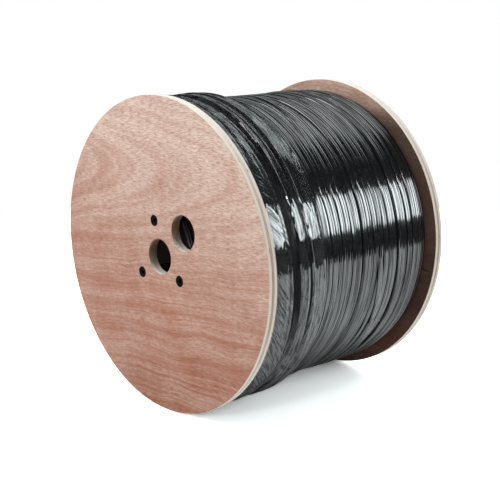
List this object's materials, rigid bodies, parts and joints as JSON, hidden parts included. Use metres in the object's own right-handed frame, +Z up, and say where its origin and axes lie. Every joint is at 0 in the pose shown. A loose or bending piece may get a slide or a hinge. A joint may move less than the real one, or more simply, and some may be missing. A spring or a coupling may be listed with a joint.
{
  "type": "wooden cable drum",
  "caption": "Plywood cable drum full of black cable: round flanges on a fibre barrel, tie bolts, arbor and drive holes, stretch film by one flange.",
  "frame": {"origin": "middle of the drum's width, on the floor below the axle, where the two rims stand", "axes": "+Z up, Y along the axle from the front flange at -Y to the rear flange at +Y, X level"},
  "size_m": [0.4, 0.304, 0.4],
  "materials": {
    "plywood": "reddish tropical veneer faces, pale cores on the edge",
    "fibreboard": "wound brown board tube",
    "black_steel": "black bolt heads and nuts",
    "cable_jacket": "glossy black jacket",
    "film": "clear glossy stretch film"
  },
  "bodies": {
    "root": {"front_flange": "plywood", "rear_flange": "plywood", "barrel": "fibreboard", "tie_bolt_1": "black_steel", "tie_bolt_2": "black_steel", "tie_bolt_3": "black_steel", "tie_nut_1": "black_steel", "tie_nut_2": "black_steel", "tie_nut_3": "black_steel", "cable_winding": "cable_jacket", "cable_tail": "cable_jacket", "stretch_film": "film"}
  },
  "joints": []
}
